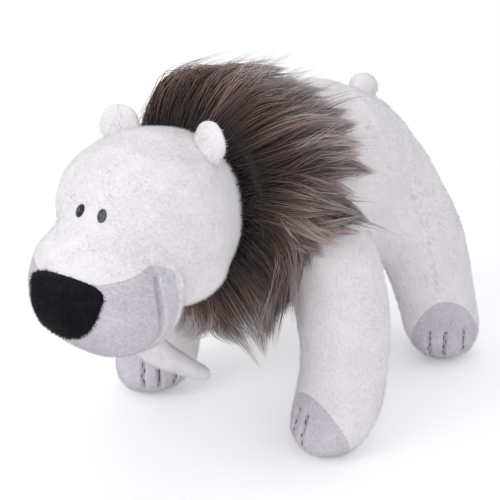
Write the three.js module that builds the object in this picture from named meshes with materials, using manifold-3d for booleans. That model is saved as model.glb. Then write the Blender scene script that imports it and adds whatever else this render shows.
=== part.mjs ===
// A standing plush polar bear with a fur mane: sewn covers over stuffing, in millimetres.
// The bear looks along -Y, its left is +X and up is +Z. The origin is on the floor, under the
// middle of its length and width.
import * as THREE from "three";
import { mergeVertices } from "three/addons/utils/BufferGeometryUtils.js";
import Module from "manifold-3d";

const wasm = await Module();
wasm.setup();

// Cloth, and what is left between two pieces that touch
const cloth = 2.6;
const gap = 0.35;
const soleFlat = 0.5;

// Torso: the ends and the middle of its spine, and its half sizes along it
const bodyLong = 217;
const chestY = -45.5;
const rumpY = chestY + bodyLong;
const chestZ = 126;
const shoulderZ = 136;
const backZ = 140;
const loinZ = 129;
const rumpZ = 106;
const chestWide = 52;
const bellyWide = 67;
const haunchWide = 68;
const rumpWide = 49;
const chestHigh = 50;
const bellyHigh = 67;
const haunchHigh = 60;
const rumpHigh = 43;
const chestRound = 52;
const rumpRound = 72;

// Legs: where the feet stand, how high each leg is sewn in, and how thick it is
const footApart = 147;
const frontFootBack = 26;
const hindFootAhead = 23;
const frontFootY = chestY + frontFootBack;
const hindFootY = rumpY - hindFootAhead;
const legTop = 144;
const frontThick = 57;
const hindThick = 51;
const thighLong = 76;
const legLean = 22;
const thighAhead = 34;
const footRound = 25;

// Paw caps: the height of the cap's edge over the foot's middle, its slope, and how far inwards
// from straight ahead it rises, in degrees
const frontCapLevel = 9;
const frontCapSlope = 2.3;
const frontCapTurn = 20;
const hindCapLevel = 21;
const hindCapSlope = 0.97;
const hindCapTurn = -34;

// Head: the back of the skull is round about the neck's centre
const neckAhead = 32;
const neckY = chestY - neckAhead;
const neckZ = 159;
const skullRadius = 46;
const browAhead = 36;
const browDrop = 10;
const browWide = skullRadius - 1;
const browHigh = skullRadius;
const faceAhead = 74;
const faceDrop = 36;
const faceWide = 32;
const faceHigh = 30;
const faceRound = 40;
const muzzleTo = 97;
const muzzleFrom = 22;
const muzzleFront = neckY - muzzleTo;
const muzzleBack = neckY - muzzleFrom;
const muzzleZ = 130;
const muzzleWide = 42;
const muzzleHigh = 31;
const muzzleRound = 30;
const bridgeRise = 8;

// Seams of the face: the mouth's corner, and how its lines slope
const mouthAhead = 63;
const mouthY = neckY - mouthAhead;
const mouthZ = 155;
const lipSlope = 0.4;
const jawSlope = 0.85;

// Neck stuffing, between the skull and the socket in the chest
const neckPad = 7;
const neckRim = 26;
const neckHole = 20;
const turnSide = 12;

// Mane: fur in locks, rooted in a ring behind the head
const maneFront = 9;
const maneEarRoom = 12;
const maneEarTurn = 0.6;
const maneLip = 4;
const maneLong = 34;
const maneLocks = 26;
const lockPoints = 2;
const lockDeep = 7;
const lockLong = 16;
const lockCurl = 14;
const maneCrestTop = 77;
const maneCrestSide = 66;
const maneCrestBelow = 72;
const maneBackTop = 75;
const maneBackSide = 77;
const maneBackBelow = 83;
const maneTipTop = 50;
const maneTipSide = 72;
const maneTipBelow = 89;
const maneReachTop = 126;
const maneReachSide = 102;
const maneReachBelow = 60;

// Ears
const earApart = 53;
const earBack = 6;
const earWide = 29;
const earHigh = 30;
const earThick = 11;
const earLean = 24;
const earFold = 20;

// Tail
const tailThick = 17;
const tailLong = 24;
const tailRise = 44;
const tailSwing = 15;

// Chin beard
const beardAhead = 40;
const beardY = neckY - beardAhead;
const beardWide = 23;
const beardThick = 17;
const beardBack = 55;
const beardDrop = 50;
const beardLeft = 10;
const beardSwing = 12;

// Eyes and nose
const eyeApart = 14.5;
const eyeZ = 178;
const eyeWide = 4.4;
const eyeHigh = 6.6;
const eyeDome = 2.2;
const stemThick = 3;
const stemLong = 9;
const washerWide = 9;
const washerThick = 1.6;
const noseWide = 47;
const noseTop = 152;
const noseFoot = 115;
const noseProud = 1.6;
const noseDeep = 60;

const ballSides = 24;
const cutter = 400;
const v = (x, y, z) => new THREE.Vector3(x, y, z);
const radians = THREE.MathUtils.degToRad;
const neck = v(0, neckY, neckZ);
const forward = v(0, -1, 0);
const backward = v(0, 1, 0);
const down = v(0, 0, -1);
const upward = v(0, 0, 1);
const sides = [["left", 1], ["right", -1]];

// A closed geometry as a solid, with only its places kept.
function solid(geometry) {
  const bare = geometry.clone();
  bare.deleteAttribute("normal");
  bare.deleteAttribute("uv");
  const merged = mergeVertices(bare, 1e-4);
  return new wasm.Manifold(new wasm.Mesh({
    numProp: 3,
    vertProperties: new Float32Array(merged.attributes.position.array),
    triVerts: new Uint32Array(merged.index.array),
  }));
}

// A closed skin over rings of points, with a point before the first ring and one after the last.
function skinned(points, around) {
  const rings = (points.length - 2) / around;
  const last = points.length - 1;
  const at = (j, i) => 1 + j * around + (i % around);
  const faces = [];
  for (let i = 0; i < around; i += 1) {
    faces.push(0, at(0, i), at(0, i + 1));
    for (let j = 0; j < rings - 1; j += 1) {
      faces.push(at(j, i), at(j + 1, i), at(j + 1, i + 1));
      faces.push(at(j, i), at(j + 1, i + 1), at(j, i + 1));
    }
    faces.push(last, at(rings - 1, i + 1), at(rings - 1, i));
  }
  const places = points.flatMap((p) => p.toArray());
  return new THREE.BufferGeometry()
    .setAttribute("position", new THREE.Float32BufferAttribute(places, 3))
    .setIndex(faces);
}

// How far along a stuffed form its rings lie: close together over its round ends.
function ringPlaces(length, ends, steps) {
  const bends = [12, 34, 62].map((angle) => 1 - Math.cos(radians(angle)));
  const middle = length - ends[0] - ends[1];
  return [
    ...bends.map((bend) => ends[0] * bend),
    ...Array.from({ length: steps + 1 }, (_, k) => ends[0] + (middle * k) / steps),
    ...bends.reverse().map((bend) => length - ends[1] * bend),
  ];
}

// A stuffed form round a spine. Its half sizes across and up are read smoothly along the
// spine, and each end is rounded over a length, more bluntly with a higher power.
function stuffed({ spine, wide, high, ends, around = 20, steps = 6, blunt = 2, facing = null }) {
  const path = new THREE.CatmullRomCurve3(spine);
  const halves = new THREE.CatmullRomCurve3(wide.map((w, i) => v(w, high[i], 0)));
  const rounded = (d, end) => (d >= end ? 1 : (1 - (1 - d / end) ** blunt) ** (1 / blunt));
  const length = path.getLength();
  const points = [path.getPoint(0)];
  for (const d of ringPlaces(length, ends, steps)) {
    const u = path.getUtoTmapping(d / length);
    const along = facing ?? path.getTangent(u);
    const side = v(1, 0, 0).addScaledVector(along, -along.x).normalize();
    const rise = side.clone().cross(along);
    const half = halves.getPoint(u);
    half.multiplyScalar(rounded(d, ends[0]) * rounded(length - d, ends[1]));
    for (let i = 0; i < around; i += 1) {
      const turn = (2 * Math.PI * i) / around;
      points.push(path.getPoint(u)
        .addScaledVector(side, half.x * Math.cos(turn))
        .addScaledVector(rise, half.y * Math.sin(turn)));
    }
  }
  points.push(path.getPoint(1));
  return skinned(points, around);
}

// The same geometry with its surface moved out by an amount, or in by a negative one.
function swollen(geometry, amount) {
  const moved = geometry.clone();
  moved.computeVertexNormals();
  const place = moved.attributes.position;
  const normal = moved.attributes.normal;
  for (let i = 0; i < place.count; i += 1) {
    const p = v().fromBufferAttribute(place, i);
    p.addScaledVector(v().fromBufferAttribute(normal, i), amount);
    place.setXYZ(i, p.x, p.y, p.z);
  }
  return moved;
}

// The forms of a list as one solid, each grown by an amount.
function grown(forms, amount = 0) {
  return forms.map((form) => solid(swollen(form, amount))).reduce((all, one) => all.add(one));
}

// The outermost place of the forms on a ray from inside them, and the way the surface faces.
function surface(forms, from, direction) {
  const meshes = forms.map((form) => new THREE.Mesh(form, new THREE.MeshBasicMaterial({ side: 2 })));
  const hits = new THREE.Raycaster(from, direction.clone().normalize()).intersectObjects(meshes);
  const last = hits[hits.length - 1];
  return { place: last.point, out: last.face.normal.clone() };
}

// A ball whose corners lie on the radius, with its poles above and below.
function ball(radius, centre) {
  const g = new THREE.SphereGeometry(radius, ballSides, ballSides / 2).rotateX(Math.PI / 2);
  return solid(g.translate(...centre.toArray()));
}

// Room for a ball that turns: its faces touch the radius from outside, and its poles lie along Y.
function ballRoom(radius, centre) {
  const corners = radius / Math.cos(Math.PI / ballSides) ** 2;
  const g = new THREE.SphereGeometry(corners, ballSides, ballSides / 2);
  return solid(g.translate(...centre.toArray()));
}

// A solid with everything below a sloping plane, which passes a place and falls towards +Y, or
// towards a direction turned from it about Z.
function below(place, slope, turn = 0) {
  const out = v(0, slope, 1).normalize().applyAxisAngle(upward, turn);
  const centre = place.clone().addScaledVector(out, -cutter / 2);
  const g = new THREE.BoxGeometry(cutter, cutter, cutter).rotateX(-Math.atan(slope)).rotateZ(turn);
  return solid(g.translate(...centre.toArray()));
}

// Everything in front of a plane across Y.
function ahead(y) {
  return solid(new THREE.BoxGeometry(cutter, cutter, cutter).translate(0, y - cutter / 2, neckZ));
}

// A round bar from one place to another.
function bar(radius, from, to, around = 12) {
  const along = to.clone().sub(from);
  const g = new THREE.CylinderGeometry(radius, radius, along.length(), around);
  g.applyQuaternion(new THREE.Quaternion().setFromUnitVectors(backward, along.normalize()));
  return solid(g.translate(...from.clone().lerp(to, 0.5).toArray()));
}

// A solid turned about an axis through a place, by degrees.
function turned(made, place, axis, angle) {
  const m = new THREE.Matrix4().makeTranslation(place.x, place.y, place.z);
  m.multiply(new THREE.Matrix4().makeRotationAxis(axis, radians(angle)));
  m.multiply(new THREE.Matrix4().makeTranslation(-place.x, -place.y, -place.z));
  return made.transform(m.elements);
}

// A moving piece without what the still one beside it takes up anywhere in its swing.
function clearOfSwing(moving, still, place, axis, swing) {
  const angles = [-1, -0.5, 0, 0.5, 1].map((share) => share * swing);
  return angles.reduce((left, angle) => left.subtract(turned(still, place, axis, angle)), moving);
}

const group = new THREE.Group();

// Adds the largest body of a solid as a named piece, without crumbs that a cut may leave.
function piece(name, made, look) {
  const bodies = made.decompose();
  const most = bodies.reduce((a, b) => (b.volume() > a.volume() ? b : a));
  const mesh = most.getMesh();
  const geometry = new THREE.BufferGeometry();
  geometry.setAttribute("position", new THREE.BufferAttribute(mesh.vertProperties, 3));
  geometry.setIndex(new THREE.BufferAttribute(mesh.triVerts, 1));
  geometry.computeVertexNormals();
  const part = new THREE.Mesh(geometry, new THREE.MeshStandardMaterial(look));
  part.name = name;
  group.add(part);
}

const white = { color: 0xf2f2f4, roughness: 0.95, metalness: 0 };
const grey = { color: 0xb9b5c1, roughness: 0.95, metalness: 0 };
const paleGrey = { color: 0xd6d3da, roughness: 0.95, metalness: 0 };
const black = { color: 0x16161a, roughness: 0.9, metalness: 0 };
const brown = { color: 0x6b5b59, roughness: 0.9, metalness: 0 };
const wadding = { color: 0xe6e2da, roughness: 1, metalness: 0 };
const glossy = { color: 0x08080a, roughness: 0.1, metalness: 0 };
const plastic = { color: 0xd8d8d8, roughness: 0.5, metalness: 0 };

// Torso
const torsoForm = [stuffed({
  spine: [
    v(0, chestY, chestZ),
    v(0, chestY + chestRound, shoulderZ),
    v(0, (chestY + rumpY) / 2, backZ),
    v(0, rumpY - rumpRound * 0.65, loinZ),
    v(0, rumpY, rumpZ),
  ],
  wide: [chestWide, bellyWide, bellyWide, haunchWide, rumpWide],
  high: [chestHigh, bellyHigh, bellyHigh, haunchHigh, rumpHigh],
  ends: [chestRound, rumpRound],
  steps: 5,
})];
const torsoKeepOut = grown(torsoForm, gap);
const padOuter = skullRadius + gap + neckPad;
const socket = ballRoom(padOuter + gap, neck);
piece("torso_skin", grown(torsoForm).subtract(grown(torsoForm, -cloth)).subtract(socket), white);
piece("torso_filling", grown(torsoForm, -cloth - gap).subtract(socket), wadding);

// Legs: each spine runs from inside the body out to the foot, in shares of the leg's lean
const footHalf = footApart / 2;

function frontLeg(side) {
  const r = frontThick / 2;
  return stuffed({
    spine: [
      v(side * (footHalf - legLean), frontFootY + legLean, legTop),
      v(side * (footHalf - legLean * 0.32), frontFootY + legLean, legTop * 0.62),
      v(side * (footHalf - legLean * 0.05), frontFootY + legLean * 0.6, legTop * 0.3),
      v(side * footHalf, frontFootY, 0),
    ],
    wide: [r, r, r * 0.95, r * 0.95],
    high: [r * 1.05, r * 1.05, r, r],
    ends: [footRound, footRound],
    around: 14,
    steps: 3,
    blunt: 2.4,
    facing: down,
  });
}

function hindLeg(side) {
  const r = hindThick / 2;
  return stuffed({
    spine: [
      v(side * (footHalf - legLean * 1.2), hindFootY - thighAhead, legTop),
      v(side * (footHalf - legLean * 0.6), hindFootY - thighAhead / 2, legTop * 0.62),
      v(side * (footHalf - legLean * 0.1), hindFootY, legTop * 0.28),
      v(side * footHalf, hindFootY, 0),
    ],
    wide: [r * 1.1, r * 1.15, r, r],
    high: [thighLong / 2, thighLong / 2, r * 1.08, r * 1.05],
    ends: [footRound, footRound],
    around: 14,
    steps: 3,
    blunt: 2.4,
    facing: down,
  });
}

const floor = below(v(0, 0, soleFlat), 0);
const standing = (made) => made.subtract(floor).translate([0, 0, -soleFlat]);

for (const [word, side] of sides) {
  for (const [name, form, footY, level, slope, turn] of [
    ["front", frontLeg(side), frontFootY, frontCapLevel, frontCapSlope, frontCapTurn],
    ["hind", hindLeg(side), hindFootY, hindCapLevel, hindCapSlope, hindCapTurn],
  ]) {
    const edge = v(side * footHalf, footY, level);
    const inwards = -side * radians(turn);
    const sleeve = grown([form]).subtract(grown([form], -cloth)).subtract(torsoKeepOut);
    const filling = grown([form], -cloth - gap).subtract(torsoKeepOut);
    const seam = edge.clone().addScaledVector(upward, gap * Math.hypot(1, slope));
    const capSpace = below(edge, slope, inwards);
    const seamSpace = below(seam, slope, inwards);
    piece(name + "_leg_skin_" + word, standing(sleeve.subtract(seamSpace)), white);
    piece(name + "_paw_cap_" + word, standing(sleeve.intersect(capSpace)), grey);
    piece(name + "_leg_filling_" + word, standing(filling), wadding);
  }
}

// Head: the skull and face in one form, and the muzzle in another
const brow = v(0, neckY - browAhead, neckZ - browDrop);
const face = v(0, neckY - faceAhead, neckZ - faceDrop);
const headForm = [
  stuffed({
    spine: [
      neck.clone().addScaledVector(backward, skullRadius),
      neck,
      brow,
      brow.clone().lerp(face, 0.56),
      face,
    ],
    wide: [skullRadius, skullRadius, browWide, (browWide + faceWide) / 2, faceWide],
    high: [skullRadius, skullRadius, browHigh, (browHigh + faceHigh) / 2, faceHigh],
    ends: [skullRadius, faceRound],
    steps: 5,
  }),
  stuffed({
    spine: [
      v(0, muzzleBack, muzzleZ + bridgeRise),
      v(0, THREE.MathUtils.lerp(muzzleBack, muzzleFront, 0.35), muzzleZ + bridgeRise * 0.6),
      v(0, THREE.MathUtils.lerp(muzzleBack, muzzleFront, 0.7), muzzleZ + bridgeRise * 0.2),
      v(0, muzzleFront, muzzleZ - 2),
    ],
    wide: [muzzleWide - 6, muzzleWide, muzzleWide, muzzleWide - 6],
    high: [muzzleHigh - 6, muzzleHigh + 3, muzzleHigh + 1, muzzleHigh - 4],
    ends: [muzzleRound, muzzleRound],
    steps: 2,
  }),
];
const headKeepOut = grown(headForm, gap);
const headIn = grown(headForm, -cloth);
const headShell = grown(headForm).subtract(headIn)
  .subtract(bar(neckHole, neck, neck.clone().addScaledVector(backward, 2 * skullRadius), 24));

// The nose's outline, a trapezoid with round corners, grown by an amount.
function noseBlock(amount) {
  const half = noseWide / 2 + amount;
  const top = noseTop + amount;
  const foot = noseFoot - amount;
  const side = THREE.MathUtils.lerp(noseTop, noseFoot, 0.42);
  const outline = new THREE.Shape();
  outline.moveTo(0, top);
  outline.quadraticCurveTo(half * 0.8, top, half, side);
  outline.quadraticCurveTo(half * 0.62, foot, 0, foot);
  outline.quadraticCurveTo(-half * 0.62, foot, -half, side);
  outline.quadraticCurveTo(-half * 0.8, top, 0, top);
  const g = new THREE.ExtrudeGeometry(outline, { depth: noseDeep, bevelEnabled: false, curveSegments: 8 });
  return solid(g.rotateX(Math.PI / 2).translate(0, mouthY - noseProud, 0));
}

const mouth = v(0, mouthY, mouthZ);
const lipLine = (amount) => below(mouth.clone().addScaledVector(upward, amount), -lipSlope);
const jawLine = (amount) => below(mouth.clone().addScaledVector(upward, amount), jawSlope);
const muzzleSpace = (amount) => lipLine(amount).intersect(ahead(mouthY + amount));
const jawSpace = (amount) => jawLine(amount).subtract(ahead(mouthY - amount));
const noseHole = noseBlock(gap);

// Eyes: an oval bead on a stem through the cloth, held by a washer inside the head
const eyeParts = sides.map(([word, side]) => {
  const spot = surface(headForm, v((side * eyeApart) / 2, brow.y, eyeZ), forward);
  const at = (depth) => spot.place.clone().addScaledVector(spot.out, -depth);
  const bead = new THREE.SphereGeometry(1, 14, 8).scale(eyeWide / 2, eyeDome, eyeHigh / 2);
  bead.applyQuaternion(new THREE.Quaternion().setFromUnitVectors(forward, spot.out));
  bead.translate(...at(-gap).toArray());
  const seat = cloth + 4 * gap;
  const stem = bar(stemThick / 2, at(0), at(stemLong));
  const hole = bar(stemThick / 2 + gap, at(-stemThick), at(stemLong + gap));
  const room = bar(washerWide / 2 + gap, at(0), at(seat + washerThick + gap), 16);
  return {
    word,
    eye: solid(bead).subtract(headKeepOut).add(stem.add(bar(stemThick / 2, at(-gap * 2), at(0)))),
    washer: bar(washerWide / 2, at(seat), at(seat + washerThick), 16).subtract(hole),
    hole,
    room,
  };
});
const stemHoles = eyeParts.map((one) => one.hole).reduce((a, b) => a.add(b));
const eyeRooms = eyeParts.map((one) => one.hole.add(one.room)).reduce((a, b) => a.add(b));

piece("head_skin", headShell.subtract(muzzleSpace(gap)).subtract(jawSpace(gap))
  .subtract(noseHole).subtract(stemHoles), white);
piece("muzzle_panel", headShell.intersect(muzzleSpace(0)).subtract(noseHole), grey);
piece("jaw_panel", headShell.intersect(jawSpace(0)).subtract(noseHole), paleGrey);
piece("nose_patch", grown(headForm, noseProud).subtract(headIn).intersect(noseBlock(0)), black);
piece("head_filling", grown(headForm, -cloth - gap).subtract(eyeRooms), wadding);
for (const { word, eye, washer } of eyeParts) {
  piece("eye_" + word, eye, glossy);
  piece("eye_washer_" + word, washer, plastic);
}

// Neck stuffing: a bowl between the skull and the chest
const skullSpace = ballRoom(skullRadius + 3 * gap, neck);
piece("neck_filling", ball(padOuter, neck)
  .subtract(skullSpace)
  .subtract(ahead(neckY + neckRim)), wadding);

// Ears: flat pads that fold about their seam on the skull
for (const [word, side] of sides) {
  const up = v(side * Math.sin(radians(earLean)), 0, Math.cos(radians(earLean)));
  const seam = v(side * up.z, 0, -side * up.x);
  const from = v((side * earApart) / 2, neckY - earBack, neckZ);
  const spot = surface(headForm, from, upward).place;
  const base = spot.clone().addScaledVector(up, -earThick / 2);
  const form = stuffed({
    spine: [0, 0.35, 0.7, 1].map((share) => base.clone().addScaledVector(up, share * earHigh)),
    wide: [0.78, 1, 1, 0.82].map((share) => (share * earWide) / 2),
    high: [0.95, 1, 0.85, 0.6].map((share) => (share * earThick) / 2),
    ends: [3, earHigh / 2],
    around: 16,
    steps: 2,
    facing: up,
  });
  piece("ear_" + word, clearOfSwing(grown([form]), headKeepOut, spot, seam, earFold), white);
}

// Tail: a round stub that wags about its seam on the rump
const tailWay = v(0, Math.cos(radians(tailRise)), Math.sin(radians(tailRise)));
const tailSpot = surface(torsoForm, v(0, rumpY - rumpRound, backZ), tailWay);
const tailOut = tailSpot.out.clone().setX(0).normalize();
const tailAxis = v(1, 0, 0).cross(tailOut);
const tailForm = stuffed({
  spine: [-0.25, 0.1, 0.5, 0.75].map((share) => (
    tailSpot.place.clone().addScaledVector(tailOut, share * tailLong))),
  wide: [0.45, 0.5, 0.5, 0.45].map((share) => share * tailThick),
  high: [0.45, 0.5, 0.5, 0.45].map((share) => share * tailThick),
  ends: [3, tailThick / 2],
  around: 16,
  steps: 2,
});
const tailSolid = clearOfSwing(grown([tailForm]), torsoKeepOut, tailSpot.place, tailAxis, tailSwing);
piece("tail", tailSolid, white);

// Chin beard: a soft taper that hangs from the chin and sweeps back
const chin = surface(headForm, v(0, beardY, muzzleZ), down).place;
const hung = (left, back, drop) => (
  chin.clone().add(v(beardLeft * left, beardBack * back, -beardDrop * drop)));
const beardForm = stuffed({
  spine: [hung(0, 0, -0.17), hung(0.25, 0.2, 0.4), hung(0.65, 0.58, 0.8), hung(1, 1, 1)],
  wide: [0.5, 0.5, 0.4, 0.3].map((share) => share * beardWide),
  high: [0.55, 0.5, 0.42, 0.32].map((share) => share * beardThick),
  ends: [5, 8],
  around: 14,
  steps: 4,
});
const beardSolid = clearOfSwing(grown([beardForm]), headKeepOut, chin, v(1, 0, 0), beardSwing);
piece("chin_beard", beardSolid, white);

// Mane: rings of fur locks from the root behind the head to tips over the shoulders
const maneAround = maneLocks * lockPoints;

function maneForm() {
  const rays = Array.from({ length: maneAround }, (_, i) => {
    const turn = (2 * Math.PI * i) / maneAround;
    const rise = Math.sin(turn);
    const earTurn = Math.abs(Math.abs(turn - Math.PI / 2) - maneEarTurn);
    const earRoom = maneEarRoom * Math.max(0, 1 - earTurn ** 2);
    const topShare = Math.max(0, rise) ** 2;
    const lowShare = Math.max(0, -rise) ** 2;
    const mix = (top, side, low) => (
      top * topShare + low * lowShare + side * (1 - topShare - lowShare));
    const lock = 1 - Math.abs(2 * (((i + lockPoints / 2) / lockPoints) % 1) - 1);
    const reach = 0.65 + 0.35 * Math.sin(5 * turn + 1);
    const cut = lockDeep * (1 - lock);
    const rootY = neckY + maneFront + earRoom;
    const long = mix(maneReachTop, maneReachSide, maneReachBelow);
    const tipY = neckY + long + lockLong * lock * reach;
    const crest = mix(maneCrestTop, maneCrestSide, maneCrestBelow);
    const back = mix(maneBackTop, maneBackSide, maneBackBelow);
    const tip = mix(maneTipTop, maneTipSide, maneTipBelow);
    const at = (radius, y) => v(radius * Math.cos(turn), y, neckZ + radius * Math.sin(turn));
    return [
      at(skullRadius * 0.6, rootY + maneLip),
      at(skullRadius + maneLip, rootY),
      at(crest - cut * 0.4, rootY + maneLong * 0.55),
      at(back - cut, THREE.MathUtils.lerp(rootY, tipY, 0.55) - maneLong * 0.3),
      at((back + tip) / 2 - cut, tipY - maneLong * 0.5),
      at(tip - cut * 0.3, tipY),
      at(tip - lockCurl, tipY - maneLong * 0.35),
    ];
  });
  const rings = rays[0].map((_, j) => rays.map((ray) => ray[j])).flat();
  return skinned([
    neck.clone().addScaledVector(backward, maneLong),
    ...rings,
    v(0, neckY + maneReachTop - maneLong, neckZ - skullRadius / 2),
  ], maneAround);
}

const padBack = neckY + neckRim - padOuter * Math.sin(radians(turnSide)) - gap;
const padSpace = ballRoom(padOuter + gap, neck).subtract(ahead(padBack));
const maneKeepOut = [skullSpace, padSpace, torsoKeepOut];
for (const [, side] of sides) {
  maneKeepOut.push(grown([frontLeg(side)], gap).translate([0, 0, -soleFlat]));
}
piece("mane", maneKeepOut.reduce((left, one) => left.subtract(one), solid(maneForm())), brown);

export default group;
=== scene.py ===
"""Plush polar bear with a fur mane: the finished covers, pile, mane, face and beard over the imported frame.

Lengths are written in millimetres and made metres by MM where a mesh is built. The inputs of the node trees
are in metres. X is across (left side positive), Y runs from the nose (negative) to the tail, Z is up from the floor.
"""
import math

import bmesh
import bpy
import numpy as np
from mathutils import Matrix, Vector
from mathutils.bvhtree import BVHTree
from mathutils.kdtree import KDTree


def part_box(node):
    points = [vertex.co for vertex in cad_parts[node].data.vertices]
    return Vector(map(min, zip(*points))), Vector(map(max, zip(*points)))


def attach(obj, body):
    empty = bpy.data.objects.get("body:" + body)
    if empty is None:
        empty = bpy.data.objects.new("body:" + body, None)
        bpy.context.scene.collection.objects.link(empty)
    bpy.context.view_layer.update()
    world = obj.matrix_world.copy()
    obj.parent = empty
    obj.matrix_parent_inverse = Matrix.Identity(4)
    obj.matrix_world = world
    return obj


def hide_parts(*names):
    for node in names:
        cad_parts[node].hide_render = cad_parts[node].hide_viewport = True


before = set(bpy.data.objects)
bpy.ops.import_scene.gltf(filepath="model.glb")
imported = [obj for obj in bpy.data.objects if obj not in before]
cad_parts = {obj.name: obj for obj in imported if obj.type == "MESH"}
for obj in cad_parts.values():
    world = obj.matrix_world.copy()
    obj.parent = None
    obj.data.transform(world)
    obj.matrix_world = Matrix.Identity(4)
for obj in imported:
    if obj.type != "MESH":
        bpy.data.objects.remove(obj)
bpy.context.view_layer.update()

MM = 0.001
SIDES = {"left": 1.0, "right": -1.0}
CLOTH = 2.4

# soft forms: a spine, half widths and heights along it, lengths of the rounded ends and how blunt they are
TORSO = dict(
    spine=[(0, -45.5, 126), (0, 6.5, 136), (0, 62.6, 140), (0, 121.7, 128), (0, 170.7, 112)],
    wide=(52, 67, 67, 67, 49), high=(50, 67, 67, 58.7, 42.6), ends=(52, 75), blunt=2.0)
FRONT_LEG = dict(
    spine=[(51.5, 2.5, 144), (67, 1.5, 89.28), (71.5, -2.5, 43.2), (69.5, -19, 0)],
    wide=(28.5, 27.8, 27.5, 27.5), high=(29.9, 29.2, 28.5, 28.5), ends=(25, 25), blunt=2.4)
HIND_LEG = dict(
    spine=[(47.5, 112, 144), (58, 128, 92), (68.5, 141.5, 40.32), (77, 145, 0)],
    wide=(29, 28, 25.5, 25), high=(43, 41.5, 33.5, 33), ends=(50, 25), blunt=2.4)
HIP = dict(
    spine=[(42, 76, 119), (42, 104, 119), (42, 130, 119), (42, 158, 119)],
    wide=(26, 31, 31, 26), high=(36, 43, 43, 36), ends=(41, 41), blunt=2.0)
SKULL = dict(
    spine=[(0, -31.5, 159), (0, -77.5, 159), (0, -104.1, 163.4), (0, -130, 136.9), (0, -151.9, 118.6)],
    wide=(32, 43.8, 51, 35.5, 34.5), high=(46, 47.7, 45.5, 25.5, 30), ends=(46, 40), blunt=2.0)
MUZZLE = dict(
    spine=[(0, -99.5, 136), (0, -125.75, 136.8), (0, -152, 132.2), (0, -172.6, 128.5)],
    wide=(36, 43.5, 41, 36), high=(25, 41, 35.6, 24.5), ends=(30, 30), blunt=2.0)
CHEEKS = dict(
    spine=[(0, -64, 140), (0, -97, 138.5), (0, -128, 128)],
    wide=(42, 46.5, 37), high=(26, 26.5, 22), ends=(28, 28), blunt=2.0)
BODY_VOXEL, HEAD_VOXEL = 2.0, 1.5
SOLE_CUT = 0.5
NECK = Vector((0, -77.5, 159))

# how strongly the skins are eased where forms join; the rump's joins are eased wider: from where along Y, and over
# what run
JOIN_EASE = 0.55
RUMP_START, RUMP_RUN = 90, 30

# unevenness of the stuffed skins: height, size of the bumps, seed
BODY_RIPPLES = ((0.7, 55, 3), (0.3, 22, 4))
HEAD_RIPPLES = ((0.45, 45, 5), (0.2, 18, 6))

# paw caps: the foot's centre, then the height of the cap's edge there, its rise per mm and the turn of that rise
# from straight ahead, then how far round the centre and how high up the leg the cap can reach
FOOT = {"front": (73.5, -19.5), "hind": (77, 145)}
CAP_EDGE = {"front": (9.0, 2.3, -20.0), "hind": (-1.5, 2.09, 50.0)}
CAP_REACH, CAP_TOP = 48, 75

# sewn toe lines: their turns in degrees from straight ahead, inwards on the front feet and outwards on the hind ones
TOES = {("front", "left"): (14, 43, 72), ("front", "right"): (26, 57, 85),
        ("hind", "left"): (2, 21, 53), ("hind", "right"): (2, 21, 53)}
TOE_LOW, TOE_HIGH, TOE_POINTS, TOE_AWAY = 7.0, 31.0, 9, 52
HIND_SEAM = [(67, 90.8, 141.1), (71.3, 94.7, 123.5), (76.7, 100, 101.6), (79, 108.6, 73.6), (80.1, 117.8, 51.6)]
FOOT_CENTRE = {"front": FRONT_LEG["spine"][-1], "hind": HIND_LEG["spine"][-1]}

# corner of the mouth: the crease between muzzle and jaw, and the roll of cloth over it
MOUTH_CREASE = [(36, -139.5, 152), (40.4, -142.9, 141.8), (41.8, -142, 130.8), (38.4, -139, 120.3), (30, -139, 109)]
MOUTH_ROLL = [(30, -141, 155), (33.3, -137.2, 157.8), (37, -132.5, 154), (39.2, -127, 145), (39.5, -124, 136)]

# pressed lines: how deep and how wide, and the folds gathered beside them
TOE_PRESS = dict(deep=2.6, wide=1.5)
LEG_PRESS = dict(deep=1.0, wide=1.4, pucker=0.2, step=7)
CREASE_PRESS = dict(deep=3.2, wide=1.7)
ROLL_PRESS = dict(deep=-1.6, wide=2.6)

# seams of the face: the crease's place along Y and the mouth's height there, how steeply the lip rises and the jaw
# falls from it, how far back the jaw's panel reaches and how far above the mouth the crease is cut
CREASE_Y, MOUTH_Z = -140.5, 156.3
LIP_RISE, JAW_FALL, JAW_DEEP = 0.28, 0.5, 12.0
CREASE_ABOVE = 6

# rays at the face start in front of the nose and run back; those at the ears start above and run down
AHEAD, ABOVE = -260, 260
BACKWARD, DOWN = (0, 1, 0), (0, 0, -1)


# ---------------------------------------------------------------- curves and meshes

def through(points, share):
    """Points of a centripetal Catmull-Rom curve through the given ones, at shares 0 to 1 of its run."""
    points = np.asarray(points, float)
    last = len(points) - 1
    spot = np.clip(np.asarray(share, float), 0, 1) * last
    span = np.minimum(spot.astype(int), last - 1)
    w = (spot - span)[:, None]
    a, b = points[span], points[span + 1]
    before = np.where(span[:, None] > 0, points[span - 1], 2 * points[0] - points[1])
    beyond = 2 * points[last] - points[last - 1]
    after = np.where(span[:, None] < last - 1, points[np.minimum(span + 2, last)], beyond)
    d0, d1, d2 = (np.maximum(np.linalg.norm(q - p, axis=1), 1e-9)[:, None] ** 0.5
                  for p, q in ((before, a), (a, b), (b, after)))
    out = ((a - before) / d0 - (b - before) / (d0 + d1) + (b - a) / d1) * d1
    into = ((b - a) / d1 - (after - a) / (d1 + d2) + (after - b) / d2) * d1
    return a + out * w + (3 * (b - a) - 2 * out - into) * w ** 2 + (2 * (a - b) + out + into) * w ** 3


def unit(v):
    return v / np.maximum(np.linalg.norm(v, axis=-1, keepdims=True), 1e-12)


def band(around, here, there):
    """Faces between two rings of points, each ring given by the number of its first point."""
    ring = np.arange(around)
    after = (ring + 1) % around
    return np.stack([here + ring, here + after, there + after, there + ring], axis=1).tolist()


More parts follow.
